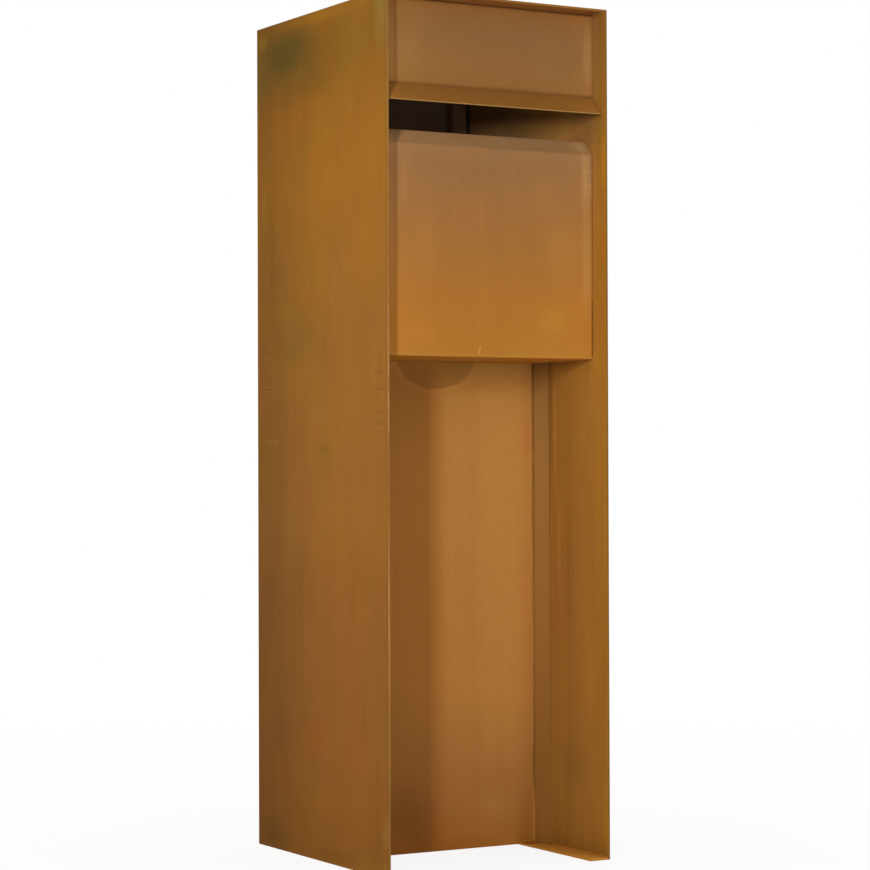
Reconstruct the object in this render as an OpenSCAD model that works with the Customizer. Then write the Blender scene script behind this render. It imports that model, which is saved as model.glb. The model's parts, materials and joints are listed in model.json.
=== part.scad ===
// Free-standing weathering-steel letterbox: two side plates, a hood, a mail box with an open
// letter slot, a cross web below it, and a hinged rear door with a cam lock.
// Millimetres, +Z up, origin on the ground at the middle of the footprint, front towards -Y.

/* [Overall] */
// Width over the two side plates
body_w = 356; // [330:1:420]
// Depth from the front edges to the rear edges
body_d = 396; // [370:1:440]
// Height above the ground
body_h = 1200; // [1150:5:1300]
// Thickness of the side plates, the roof and the foot strips
plate_t = 3; // [2.5:0.5:4]
// Thickness of the folded sheets
sheet_t = 2; // [1.5:0.5:2.5]
// Inside radius of the folds
fold_r = 2; // [1:0.5:3]

/* [Hood] */
// Distance of the hood face behind the front edges
hood_set = 33; // [29:1:50]
// Height of the hood face, from the roof down to its lower fold
hood_h = 117; // [100:1:125]
// Length of the slanted lip below the fold
lip_len = 37.5; // [25:0.5:38]
// Width of the return that is welded under the roof
hood_return = 15; // [8:1:25]

/* [Mail box] */
// Distance of the box face behind the front edges
box_set = 33; // [25:1:50]
// Height of the box underside above the ground
box_z = 706; // [600:1:720]
// Height of the fold between the face and the bevel
box_fold_z = 997; // [900:1:1000]
// Rise and run of the bevel under the letter slot
bevel = 21; // [14:1:24]
// Inside radius of the fold between the face and the bevel
bevel_fold_r = 5; // [3:0.5:6]
// Depth of the side returns behind the face
side_return = 22; // [12:1:30]
// Height of the sill at the back of the box floor
sill_h = 15; // [10:1:20]

/* [Stand] */
// Distance of the web behind the front edges
web_set = 194; // [150:1:230]
// Depth of the web's forward side flanges
web_flange = 44; // [25:1:60]
// Width of the foot strips
foot_w = 30; // [28:1:45]
// Diameter of the anchor holes in the foot strips
foot_hole_d = 11; // [7:0.5:13]
// Distance from the rear edge to the rear pair of anchor holes
foot_rear = 33; // [20:1:50]
// Distance between the front and the rear pair of anchor holes
foot_pitch = 135; // [60:1:140]

/* [Rear door] */
// How far the door lies inside the rear edges
door_recess = 5; // [5:0.5:8]
// Gap between the door and the plates around it
door_gap = 1; // [1:0.5:2]
// Outside radius of the hinge barrels
hinge_r = 4.5; // [4.5:0.25:5]
// Radius of the hinge pins
pin_r = 2.5; // [2:0.25:2.75]
// Running clearance of the door barrels on the pins
pin_clear = 0.05; // [0.02:0.01:0.1]
// Length of one hinge barrel
barrel_h = 30; // [20:1:40]
// Height of the lower hinge above the box underside
hinge_low = 84; // [60:1:120]
// Distance between the two hinges
hinge_pitch = 310; // [220:1:320]

/* [Stop post] */
// Width of the stop post's face
stop_w = 25; // [20:1:26]
// Depth of the stop post
stop_d = 20; // [16:1:22]
// Distance of the stop post's face from the right plate
stop_gap = 10; // [8:1:11]

/* [Lock] */
// Distance of the lock from the inner face of the right plate
lock_in = 53; // [52:1:60]
// Height of the lock above the box underside
lock_up = 244; // [150:1:320]
// Diameter of the lock body
lock_d = 18; // [17:0.5:19]
// Reach of the cam from the lock axis
cam_len = 31; // [30:0.5:34]

/* [Hidden] */
$fn = 64;
xi = body_w/2 - plate_t;          // inner faces of the side plates
yf = -body_d/2;                   // front edges
yr = body_d/2;                    // rear edges
zr = body_h - plate_t;            // underside of the roof
fold_o = fold_r + sheet_t;        // outside radius of a fold
door_t = plate_t;
door_yo = yr - door_recess;       // outer face of the door
door_yi = door_yo - door_t;       // inner face of the door
stop_y = door_yi - 0.3;           // rear face of the stop post and of the sill
ax = -xi + hinge_r;               // hinge axis
ay = yr - hinge_r;
door_x0 = ax + 5;                 // weld line of the door barrels
door_x1 = xi - door_gap;
door_z0 = box_z;
door_z1 = zr - 2*door_gap;
lx = xi - lock_in;                // lock axis
lz = box_z + lock_up;
web_y = yf + web_set;             // front face of the web
hinge_zs = [box_z + hinge_low, box_z + hinge_low + hinge_pitch];
hole_x = xi - foot_w/2;
hole_ys = [yr - foot_rear - foot_pitch, yr - foot_rear];

rust = "#a46c35";
rust_dark = "#8c5a2a";
rust_orange = "#b4762f";

// ---- folded sheet drawn as one outline ----
// Each step is [flat length, fold angle after it, inside radius of that fold]. The line runs along
// one face of the sheet, and the sheet lies on its left; a positive angle folds towards the sheet.
function ahead(h) = [cos(h), sin(h)];
function left(h) = [-sin(h), cos(h)];

function fold_points(q, h, a, r, t) =
    let (n = ceil(abs(a)/5), rr = a > 0 ? r + t : -r, c = q + rr*left(h))
    [for (k = [1 : n]) [c - rr*left(h + a*k/n), h + a*k/n]];

function stations(steps, t, i, p, h) =
    let (q = p + steps[i][0]*ahead(h))
    i == len(steps) - 1 ? [[q, h]]
    : let (f = fold_points(q, h, steps[i][1], steps[i][2], t), e = f[len(f) - 1])
      concat([[q, h]], f, stations(steps, t, i + 1, e[0], e[1]));

module sheet(steps, t, p = [0, 0], h = 0) {
    st = concat([[p, h]], stations(steps, t, 0, p, h));
    n = len(st);
    polygon(concat([for (s = st) s[0]],
                   [for (i = [n - 1 : -1 : 0]) st[i][0] + t*left(st[i][1])]));
}

// A side view (y, z) drawn out along x
module across(x0, x1) {
    translate([x0, 0, 0]) rotate([90, 0, 90]) linear_extrude(x1 - x0) children();
}

module block(x0, x1, y0, y1, z0, z1) {
    translate([x0, y0, z0]) cube([x1 - x0, y1 - y0, z1 - z0]);
}

// Cylinder along +y from y0 to y1
module turned(r, y0, y1, x = lx, z = lz) {
    translate([x, y0, z]) rotate([-90, 0, 0]) cylinder(r = r, h = y1 - y0);
}

// ---- plates ----
module side_plate_left() {
    color(rust) block(-body_w/2, -xi, yf, yr, 0, body_h);
}

module side_plate_right() {
    color(rust) block(xi, body_w/2, yf, yr, 0, body_h);
}

module roof_plate() {
    color(rust_dark) block(-xi, xi, yf, yr, zr, body_h);
}

module hood_front() {
    k = fold_r*tan(22.5);
    color(rust_dark) translate([0, yf + hood_set, zr]) across(-xi, xi)
        sheet([[hood_return, 90, fold_r],
               [hood_h - fold_o - k, -45, fold_r],
               [lip_len - k, 0, 0]], sheet_t, [fold_o + hood_return, 0], 180);
}

module box_tray() {
    k = (bevel_fold_r + sheet_t)*tan(22.5);
    y0 = yf + box_set;
    rise = box_fold_z - box_z;
    zs0 = fold_o + 2;             // the side folds stop short of the other folds
    zs1 = rise - k - 2;
    color(rust_orange) translate([0, 0, box_z]) difference() {
        union() {
            difference() {
                translate([0, y0, 0]) across(-xi, xi)
                    sheet([[bevel*sqrt(2) - k, 45, bevel_fold_r],
                           [rise - k - fold_o, 90, fold_r],
                           [stop_y - y0 - 2*fold_o, 90, fold_r],
                           [sill_h - fold_o, 0, 0]], sheet_t, [bevel, rise + bevel], 225);
                for (s = [-1, 1]) {
                    // face ends where the side folds start
                    translate([s > 0 ? xi - fold_o : -xi - 1, y0 - 1, fold_o])
                        cube([fold_o + 1, sheet_t + 2, rise - k - fold_o]);
                    // bevel ends stand clear of the side plates
                    translate([s > 0 ? xi - 0.5 : -xi - 1, y0 - 1, rise - k - 1])
                        cube([1.5, bevel + 4, bevel + k + 2]);
                }
            }
            // side folds and returns
            for (s = [-1, 1])
                translate([s*(xi - fold_o), y0 + fold_o, zs0]) linear_extrude(zs1 - zs0) {
                    intersection() {
                        difference() { circle(fold_o); circle(fold_r); }
                        translate([s > 0 ? 0 : -2*fold_o, -2*fold_o]) square(2*fold_o);
                    }
                    translate([s > 0 ? fold_r : -fold_o, 0])
                        square([sheet_t, side_return - fold_o]);
                }
        }
        // corner cut away where the hinge edge of the door swings in
        block(-xi - 1, -xi + 11, stop_y - fold_o - 1, stop_y + 1, -1, sill_h + 1);
    }
}

module web_panel() {
    color(rust) difference() {
        linear_extrude(box_z)
            sheet([[web_flange + sheet_t - fold_o, 90, fold_r],
                   [2*(xi - fold_o), 90, fold_r],
                   [web_flange + sheet_t - fold_o, 0, 0]], sheet_t, [xi, web_y - web_flange], 90);
        // notch over the right foot strip
        block(xi - foot_w - 0.5, xi + 1, web_y - web_flange - 1, web_y + sheet_t + 1, -1, plate_t);
    }
}

module foot_strip(x0, y0) {
    difference() {
        block(x0, x0 + foot_w, y0, yr, 0, plate_t);
        for (y = hole_ys)
            translate([x0 + foot_w/2, y, -1]) cylinder(d = foot_hole_d, h = plate_t + 2);
    }
}

module foot_strip_left() { color(rust) foot_strip(-xi, web_y + sheet_t); }

module foot_strip_right() { color(rust) foot_strip(xi - foot_w, yf); }

// Hat section: flange against the right plate, side, face, return
module door_stop_strip() {
    z0 = box_z + sill_h + 1;
    color(rust_dark) translate([0, 0, z0]) linear_extrude(zr - z0)
        sheet([[stop_gap + sheet_t - fold_o, 90, fold_r],
               [stop_d - 2*fold_o, -90, fold_r],
               [stop_w - 2*fold_o, -90, fold_r],
               [stop_d - fold_o, 0, 0]], sheet_t, [xi, stop_y], 180);
}

// ---- rear door and its hinges ----
// Lock body outline with two flats
module lock_outline(extra = 0) {
    intersection() {
        circle(d = lock_d + 2*extra);
        square([lock_d - 2 + 2*extra, 2*lock_d], center = true);
    }
}

module rear_door() {
    color(rust) difference() {
        block(-door_x1, door_x1, door_yi, door_yo, door_z0, door_z1);
        translate([lx, door_yi - 1, lz]) rotate([-90, 0, 0])
            linear_extrude(door_t + 2) lock_outline(0.1);
        // cut-outs for the hinges
        for (z = hinge_zs)
            block(-xi - 1, door_x0, door_yi - 1, door_yo + 1, z - 1, z + 2*barrel_h + 2.3);
    }
}

module fixed_barrel(z) {
    difference() {
        union() {
            translate([ax, ay, z]) cylinder(r = hinge_r, h = barrel_h);
            block(-xi, ax, ay - 3, ay + 3, z, z + barrel_h);
        }
        translate([ax, ay, z - 1]) cylinder(r = pin_r, h = barrel_h + 2);
    }
}

module door_barrel(z) {
    difference() {
        union() {
            translate([ax, ay, z]) cylinder(r = hinge_r - 0.3, h = barrel_h);
            block(ax, door_x0, door_yi, door_yo, z, z + barrel_h);
        }
        translate([ax, ay, z - 1]) cylinder(r = pin_r + pin_clear, h = barrel_h + 2);
    }
}

module hinge_pin(z) { translate([ax, ay, z]) cylinder(r = pin_r, h = 2*barrel_h + 1.3); }

module hinge_lower_fixed_barrel() { color("#7d4f26") fixed_barrel(hinge_zs[0]); }
module hinge_lower_door_barrel() { color("#7d4f26") door_barrel(hinge_zs[0] + barrel_h + 1.3); }
module hinge_lower_pin() { color("#8d8a84") hinge_pin(hinge_zs[0]); }
module hinge_upper_fixed_barrel() { color("#7d4f26") fixed_barrel(hinge_zs[1]); }
module hinge_upper_door_barrel() { color("#7d4f26") door_barrel(hinge_zs[1] + barrel_h + 1.3); }
module hinge_upper_pin() { color("#8d8a84") hinge_pin(hinge_zs[1]); }

module hinge_washers() {
    color("#b99a4a") for (z = hinge_zs)
        translate([ax, ay, z + barrel_h]) difference() {
            cylinder(r = hinge_r - 0.3, h = 1);
            translate([0, 0, -1]) cylinder(r = pin_r, h = 3);
        }
}

// ---- cam lock ----
lock_face = door_yo + 1.8;        // outer face of the lock flange
cam_y = stop_y - stop_d - 0.5;    // rear face of the cam, just in front of the stop post
cam_t = 2;
lock_end = cam_y + 0.3;           // inner end of the lock body

module lock_housing() {
    color("#b9b7b0") difference() {
        union() {
            turned(11, door_yo, lock_face);
            translate([lx, lock_end, lz]) rotate([-90, 0, 0])
                linear_extrude(door_yo - lock_end) lock_outline();
        }
        turned(6.05, lock_end - 1, lock_face + 1);
        turned(7.05, door_yo - 0.5, lock_face + 1);
    }
}

module lock_nut() {
    color("#a9a69e") difference() {
        translate([lx, door_yi - 4, lz]) rotate([-90, 0, 0]) cylinder(r = 12.7, h = 4, $fn = 6);
        turned(lock_d/2, door_yi - 5, door_yi + 1);
    }
}

module lock_plug() {
    color("#c9c6bd") difference() {
        union() {
            turned(7, door_yo - 0.2, lock_face - 0.2);
            turned(6, cam_y, door_yo);
            block(lx - 3.5, lx + 3.5, cam_y - cam_t, cam_y + 1, lz - 3.5, lz + 3.5);
        }
        // keyway
        block(lx - 0.7, lx + 0.7, door_yo - 6, lock_face + 1, lz - 4, lz + 4);
        // hole for the cam screw
        turned(2, cam_y - cam_t - 1, cam_y + 6);
    }
}

module lock_cam() {
    color("#8f8c85") difference() {
        union() {
            turned(9, cam_y - cam_t, cam_y);
            block(lx - 8, lx + 8, cam_y - cam_t, cam_y, lz, lz + cam_len - 8);
            turned(8, cam_y - cam_t, cam_y, lx, lz + cam_len - 8);
        }
        block(lx - 3.5, lx + 3.5, cam_y - cam_t - 1, cam_y + 1, lz - 3.5, lz + 3.5);
    }
}

module cam_washer() {
    color("#a9a69e") difference() {
        turned(5.5, cam_y - cam_t - 1, cam_y - cam_t);
        turned(2, cam_y - cam_t - 2, cam_y - cam_t + 1);
    }
}

module cam_screw() {
    color("#8f8c85") difference() {
        union() {
            turned(2, cam_y - cam_t - 1.5, cam_y + 5);
            turned(3.8, cam_y - cam_t - 3.2, cam_y - cam_t - 1);
        }
        block(lx - 3, lx + 3, cam_y - cam_t - 4, cam_y - cam_t - 2.2, lz - 0.5, lz + 0.5);
        block(lx - 0.5, lx + 0.5, cam_y - cam_t - 4, cam_y - cam_t - 2.2, lz - 3, lz + 3);
    }
}

side_plate_left();
side_plate_right();
roof_plate();
hood_front();
box_tray();
web_panel();
foot_strip_left();
foot_strip_right();
door_stop_strip();
rear_door();
hinge_lower_fixed_barrel();
hinge_lower_door_barrel();
hinge_lower_pin();
hinge_upper_fixed_barrel();
hinge_upper_door_barrel();
hinge_upper_pin();
hinge_washers();
lock_housing();
lock_nut();
lock_plug();
lock_cam();
cam_washer();
cam_screw();
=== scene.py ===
import json
import math
import random

import bmesh
import bpy
from mathutils import Matrix, Vector, noise

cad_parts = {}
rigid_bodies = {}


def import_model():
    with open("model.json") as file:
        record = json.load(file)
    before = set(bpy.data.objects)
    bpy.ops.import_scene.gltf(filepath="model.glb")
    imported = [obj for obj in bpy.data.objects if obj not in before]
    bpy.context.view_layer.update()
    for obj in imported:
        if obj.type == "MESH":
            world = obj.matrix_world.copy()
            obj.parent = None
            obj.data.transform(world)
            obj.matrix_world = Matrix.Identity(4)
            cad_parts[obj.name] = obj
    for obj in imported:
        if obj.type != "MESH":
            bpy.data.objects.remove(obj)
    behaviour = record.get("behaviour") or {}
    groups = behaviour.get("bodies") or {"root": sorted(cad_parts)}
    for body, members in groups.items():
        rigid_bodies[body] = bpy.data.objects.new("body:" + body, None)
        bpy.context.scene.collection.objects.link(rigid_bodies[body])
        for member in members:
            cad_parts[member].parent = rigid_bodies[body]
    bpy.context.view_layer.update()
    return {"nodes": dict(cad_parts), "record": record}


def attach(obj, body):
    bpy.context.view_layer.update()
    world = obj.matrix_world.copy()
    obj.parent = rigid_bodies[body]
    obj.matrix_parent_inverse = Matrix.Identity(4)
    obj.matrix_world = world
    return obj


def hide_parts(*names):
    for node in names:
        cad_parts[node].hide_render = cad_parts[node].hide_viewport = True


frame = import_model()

NODES = frame["nodes"]
BODY = {n: b for b, ns in frame["record"]["behaviour"]["bodies"].items() for n in ns}
scene = bpy.context.scene
COLL = scene.collection
KEY = 176.0
KEY_COLOR = (1.0, 1.0, 1.0)
SHELTER = (0.31, 0.196, 0.108)
GAIN = {"left": (0.65, 0.645, 0.50), "right": (1.08, 1.16, 1.17), "roof": (0.86, 0.86, 0.84), "hood": (0.78, 0.79, 0.77),
        "box": (0.72, 0.75, 0.74), "web": (0.98, 1.03, 0.99), "foot": (1.12, 1.10, 1.0)}

# --------------------------------------------------------------------------- colour helpers


def lin(c):
    """sRGB 0..255 to linear."""
    out = []
    for v in c:
        v = v / 255.0
        out.append(v / 12.92 if v <= 0.04045 else ((v + 0.055) / 1.055) ** 2.4)
    return (out[0], out[1], out[2], 1.0)


class Tree:
    """A short way to write shader nodes."""

    def __init__(self, name):
        self.mat = bpy.data.materials.new(name)
        self.mat.use_nodes = True
        self.nt = self.mat.node_tree
        self.nt.nodes.clear()
        self.out = self.nt.nodes.new("ShaderNodeOutputMaterial")
        self.bsdf = self.nt.nodes.new("ShaderNodeBsdfPrincipled")
        self.nt.links.new(self.bsdf.outputs[0], self.out.inputs[0])
        self.coord = self.nt.nodes.new("ShaderNodeTexCoord")
        self.p = self.coord.outputs["Object"]
        self.n = self.coord.outputs["Normal"]

    def put(self, socket, v):
        if hasattr(v, "is_linked") or hasattr(v, "links"):
            self.nt.links.new(v, socket)
        else:
            socket.default_value = v

    def math(self, op, a, b=None, c=None, clamp=False):
        n = self.nt.nodes.new("ShaderNodeMath")
        n.operation = op
        n.use_clamp = clamp
        for i, v in enumerate((a, b, c)):
            if v is not None:
                self.put(n.inputs[i], v)
        return n.outputs[0]

    def add(self, a, b):
        return self.math("ADD", a, b)

    def mul(self, a, b):
        return self.math("MULTIPLY", a, b)

    def vmath(self, op, a, b=None, scale=None):
        n = self.nt.nodes.new("ShaderNodeVectorMath")
        n.operation = op
        self.put(n.inputs[0], a)
        if b is not None:
            self.put(n.inputs[1], b)
        if scale is not None:
            self.put(n.inputs["Scale"], scale)
        return n.outputs["Value"] if op in ("LENGTH", "DOT_PRODUCT", "DISTANCE") else n.outputs[0]

    def xyz(self, v):
        n = self.nt.nodes.new("ShaderNodeSeparateXYZ")
        self.put(n.inputs[0], v)
        return n.outputs[0], n.outputs[1], n.outputs[2]

    def noise(self, scale, detail=2.0, rough=0.5, vec=None, stretch=(1, 1, 1), seed=0.0, dist=0.0):
        v = self.p if vec is None else vec
        m = self.nt.nodes.new("ShaderNodeMapping")
        m.inputs["Location"].default_value = (seed * 1.37, seed * 2.11, seed * 0.73)
        m.inputs["Scale"].default_value = stretch
        self.put(m.inputs[0], v)
        n = self.nt.nodes.new("ShaderNodeTexNoise")
        n.inputs["Scale"].default_value = scale
        n.inputs["Detail"].default_value = detail
        n.inputs["Roughness"].default_value = rough
        n.inputs["Distortion"].default_value = dist
        self.put(n.inputs["Vector"], m.outputs[0])
        return n.outputs["Fac"]

    def range(self, v, a, b, c=0.0, d=1.0, smooth=True):
        n = self.nt.nodes.new("ShaderNodeMapRange")
        n.interpolation_type = "SMOOTHSTEP" if smooth else "LINEAR"
        n.clamp = True
        self.put(n.inputs["Value"], v)
        for k, x in (("From Min", a), ("From Max", b), ("To Min", c), ("To Max", d)):
            self.put(n.inputs[k], x)
        return n.outputs[0]

    def mix(self, fac, a, b, mode="MIX"):
        n = self.nt.nodes.new("ShaderNodeMix")
        n.data_type = "RGBA"
        n.blend_type = mode
        n.clamp_result = False
        self.put(n.inputs["Factor"], fac)
        self.put(n.inputs["A"] if False else n.inputs[6], a)
        self.put(n.inputs[7], b)
        return n.outputs[2]

    def ramp(self, fac, stops, ease=True):
        """stops: [(position 0..1, linear rgba)]"""
        n = self.nt.nodes.new("ShaderNodeValToRGB")
        n.color_ramp.interpolation = "EASE" if ease else "LINEAR"
        el = n.color_ramp.elements
        while len(el) < len(stops):
            el.new(0.5)
        for e, (pos, col) in zip(el, stops):
            e.position = pos
            e.color = col
        self.put(n.inputs[0], fac)
        return n.outputs[0]

    def grey(self, v):
        """A grey colour from a number."""
        n = self.nt.nodes.new("ShaderNodeCombineXYZ")
        for i in range(3):
            self.put(n.inputs[i], v)
        return n.outputs[0]

    def bump(self, height, distance, strength=1.0, normal=None):
        n = self.nt.nodes.new("ShaderNodeBump")
        n.inputs["Strength"].default_value = strength
        n.inputs["Distance"].default_value = distance
        self.put(n.inputs["Height"], height)
        if normal is not None:
            self.put(n.inputs["Normal"], normal)
        return n.outputs[0]


# --------------------------------------------------------------------------- rust
# Heights and distances in the lists below are millimetres; colours are sRGB 0..255, seen in soft
# light. GAIN turns them into surface colours for the light in this scene.


def smooth_gt(t, v, edge, soft):
    return t.range(v, edge - soft, edge + soft)


def smooth_lt(t, v, edge, soft):
    return t.range(v, edge - soft, edge + soft, 1.0, 0.0)


def band(t, v, lo, hi, soft):
    return t.mul(smooth_gt(t, v, lo, soft), smooth_lt(t, v, hi, soft))


def place(t):
    """Object position in millimetres and the object-space normal."""
    q = t.vmath("SCALE", t.p, scale=1000.0)
    P = {}
    P["x"], P["y"], P["z"] = t.xyz(q)
    P["nx"], P["ny"], P["nz"] = t.xyz(t.n)
    return P


def blob(t, h, z, ch, cz, rh, rz, hard=0.3, warp=0.35, seed=0.0, scale=14.0):
    """Mask of a soft, ragged oval."""
    dh = t.math("DIVIDE", t.math("SUBTRACT", h, float(ch)), float(rh))
    dz = t.math("DIVIDE", t.math("SUBTRACT", z, float(cz)), float(rz))
    d = t.math("SQRT", t.add(t.mul(dh, dh), t.mul(dz, dz)))
    if warp:
        w = t.math("SUBTRACT", t.noise(scale, 3, 0.6, seed=seed + ch * 0.013 + cz * 0.007), 0.5)
        d = t.add(d, t.mul(w, warp * 2.0))
    return t.range(d, 1.0, hard, 0.0, 1.0)


def stops(t, v, pts, ease=False):
    """Colour or factor stops along v: [(mm, sRGB tuple or factor)]."""
    lo, hi = float(pts[0][0]), float(pts[-1][0])
    f = t.range(v, lo, hi, smooth=False)
    return t.ramp(f, [((m - lo) / (hi - lo), lin(c) if hasattr(c, "__len__") else (c, c, c, 1)) for m, c in pts], ease)


def patina(t, h, z, up, wide=None, marks=(), streak=0.10, mottle=0.10, seed=0.0, hue=0.35, fine=1.0, lines=0.0, warp=1.0):
    """Weathered-steel colour; some callers also put painted light and shade into its stops and marks. up: colour along
    the height z;
    wide: brightness across, along h; marks: (across, z, radius across, radius up, sRGB, strength, hardness,
    raggedness)."""
    w1 = t.math("SUBTRACT", t.noise(4.0, 3, 0.55, seed=seed + 1), 0.5)
    w2 = t.math("SUBTRACT", t.noise(5.5, 3, 0.55, seed=seed + 2), 0.5)
    zw = t.add(z, t.mul(w1, 120.0 * warp))
    hw = t.add(h, t.mul(w2, 26.0 * warp))
    base = stops(t, zw, up)
    if wide:
        base = t.mix(1.0, base, stops(t, hw, wide), "MULTIPLY")
    c1 = t.noise(7.0, 4, 0.6, seed=seed + 3, stretch=(1, 1, 0.55), dist=0.4)
    c2 = t.noise(11.0, 4, 0.6, seed=seed + 4, stretch=(1, 1, 0.7), dist=0.3)
    c3 = t.noise(19.0, 4, 0.62, seed=seed + 5, stretch=(1, 1, 0.5))
    base = t.mix(t.mul(t.range(c1, 0.50, 0.68), hue), base, t.mix(1.0, base, (1.03, 1.09, 0.80, 1), "MULTIPLY"))
    base = t.mix(t.mul(t.range(c2, 0.52, 0.68), hue * 0.6), base, t.mix(1.0, base, (1.06, 0.93, 0.86, 1), "MULTIPLY"))
    base = t.mix(t.mul(t.range(c3, 0.50, 0.72), hue), base, t.mix(1.0, base, (0.91, 0.91, 0.88, 1), "MULTIPLY"))
    for k, (ch, cz, rh, rz, col, strength, hard, rag) in enumerate(marks):
        m = blob(t, h, z, ch, cz, rh, rz, hard, rag, seed + k)
        base = t.mix(t.mul(m, strength), base, lin(col))
    s1 = t.noise(55.0, 3, 0.6, seed=seed + 7, stretch=(1, 1, 0.045))
    s2 = t.noise(150.0, 2, 0.6, seed=seed + 8, stretch=(1, 1, 0.02))
    s3 = t.noise(24.0, 3, 0.55, seed=seed + 9, stretch=(1, 1, 0.3))
    v = t.add(t.mul(t.math("SUBTRACT", s1, 0.5), streak * 2.0), t.mul(t.math("SUBTRACT", s2, 0.5), streak * 0.9))
    v = t.add(v, t.mul(t.math("SUBTRACT", s3, 0.5), mottle * 1.6))
    if lines:
        ln = t.noise(260.0, 2, 0.6, seed=seed + 10, stretch=(0.06, 0.06, 1))
        v = t.add(v, t.mul(t.math("SUBTRACT", ln, 0.5), lines))
    # rust grain, from a few tenths of a millimetre to a few millimetres across
    g1 = t.noise(420.0, 4, 0.72, seed=seed + 11)
    g2 = t.noise(1500.0, 2, 0.7, seed=seed + 12)
    g3 = t.noise(120.0, 5, 0.7, seed=seed + 13)
    v = t.add(v, t.mul(t.math("SUBTRACT", g1, 0.5), 0.16 * fine))
    v = t.add(v, t.mul(t.math("SUBTRACT", g2, 0.5), 0.10 * fine))
    v = t.add(v, t.mul(t.math("SUBTRACT", g3, 0.5), 0.12 * fine))
    base = t.mix(1.0, base, t.grey(t.add(v, 1.0)), "MULTIPLY")
    sp = t.noise(210.0, 3, 0.6, seed=seed + 14)
    base = t.mix(t.range(sp, 0.66, 0.76, 0.0, 0.24 * fine), base, t.mix(1.0, base, (0.62, 0.56, 0.52, 1), "MULTIPLY"))
    bl = t.noise(75.0, 4, 0.66, seed=seed + 15)
    base = t.mix(t.range(bl, 0.62, 0.78, 0.0, 0.22 * fine), base, t.mix(1.0, base, (1.20, 1.12, 0.95, 1), "MULTIPLY"))
    t.grain = (g1, g2, g3)
    return base


def sheltered(t, P, col=SHELTER):
    """Dry grey-brown rust where rain never reaches, with faint runs and orange patches below 722 mm."""
    a = t.noise(15.0, 6, 0.62, seed=71, stretch=(1, 1, 0.35), dist=0.2)
    c = t.mix(t.range(a, 0.30, 0.75), (*col, 1), (col[0] * 0.84, col[1] * 0.78, col[2] * 0.70, 1))
    b = t.noise(30.0, 5, 0.62, seed=73, stretch=(1, 1, 0.09))
    c = t.mix(t.range(b, 0.44, 0.74, 0.0, 0.6), c, (col[0] * 0.88, col[1] * 0.72, col[2] * 0.54, 1))
    low = t.mul(smooth_lt(t, P["z"], 722.0, 14.0), t.range(t.noise(30.0, 4, 0.6, seed=74), 0.4, 0.65))
    c = t.mix(t.mul(low, 0.6), c, (col[0] * 0.95, col[1] * 0.66, col[2] * 0.42, 1))
    v = t.add(t.mul(t.math("SUBTRACT", t.noise(420.0, 4, 0.72, seed=75), 0.5), 0.34), 1.0)
    return t.mix(1.0, c, t.grey(v), "MULTIPLY")


def finish(t, base, gain=(1, 1, 1), rough=0.82, raw=None, raw_mask=None):
    """raw is a surface colour that takes no gain, shown where raw_mask is 1."""
    base = t.mix(1.0, base, (*gain, 1), "MULTIPLY")
    if raw is not None:
        base = t.mix(raw_mask, base, raw)
    t.put(t.bsdf.inputs["Base Color"], base)
    g1, g2, g3 = t.grain
    t.put(t.bsdf.inputs["Roughness"], t.math("MINIMUM", t.add(rough, t.mul(t.math("SUBTRACT", g3, 0.5), 0.22)), 1.0))
    t.bsdf.inputs["Specular IOR Level"].default_value = 0.05
    hgt = t.add(t.mul(g1, 0.6), t.add(g3, t.mul(g2, 0.25)))
    b = t.bump(hgt, 0.00035, 0.5)
    b = t.bump(t.noise(9.0, 3, 0.5, seed=17), 0.0012, 0.3, b)
    t.put(t.bsdf.inputs["Normal"], b)
    return t.mat


def plain_metal(name, col, dark, rough=0.4, metallic=1.0, scale=300.0, rust_amount=0.35, seed=0.0, stretch=(1, 1, 1)):
    t = Tree(name)
    a = t.noise(scale, 3, 0.6, seed=seed, stretch=stretch)
    b = t.noise(60.0, 4, 0.65, seed=seed + 3)
    c = t.mix(t.range(a, 0.35, 0.7), lin(dark), lin(col))
    m = t.range(b, 0.52, 0.70, 0.0, rust_amount)
    c = t.mix(m, c, lin((110, 66, 30)))
    t.put(t.bsdf.inputs["Base Color"], c)
    t.put(t.bsdf.inputs["Roughness"], t.add(t.mul(a, 0.2), t.add(rough - 0.1, t.mul(m, 0.5))))
    t.put(t.bsdf.inputs["Metallic"], t.math("MULTIPLY", t.math("SUBTRACT", 1.0, m), metallic))
    t.put(t.bsdf.inputs["Normal"], t.bump(t.add(a, t.mul(b, 0.6)), 0.0002, 0.5))
    return t.mat


# --------------------------------------------------------------------------- pieces from the frame


def finish_mesh(ob, angle=32):
    me = ob.data
    for p in me.polygons:
        p.use_smooth = True
    me.set_sharp_from_angle(angle=math.radians(angle))
    m = ob.modifiers.new("normals", "WEIGHTED_NORMAL")
    m.keep_sharp = True
    m.weight = 80


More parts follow.
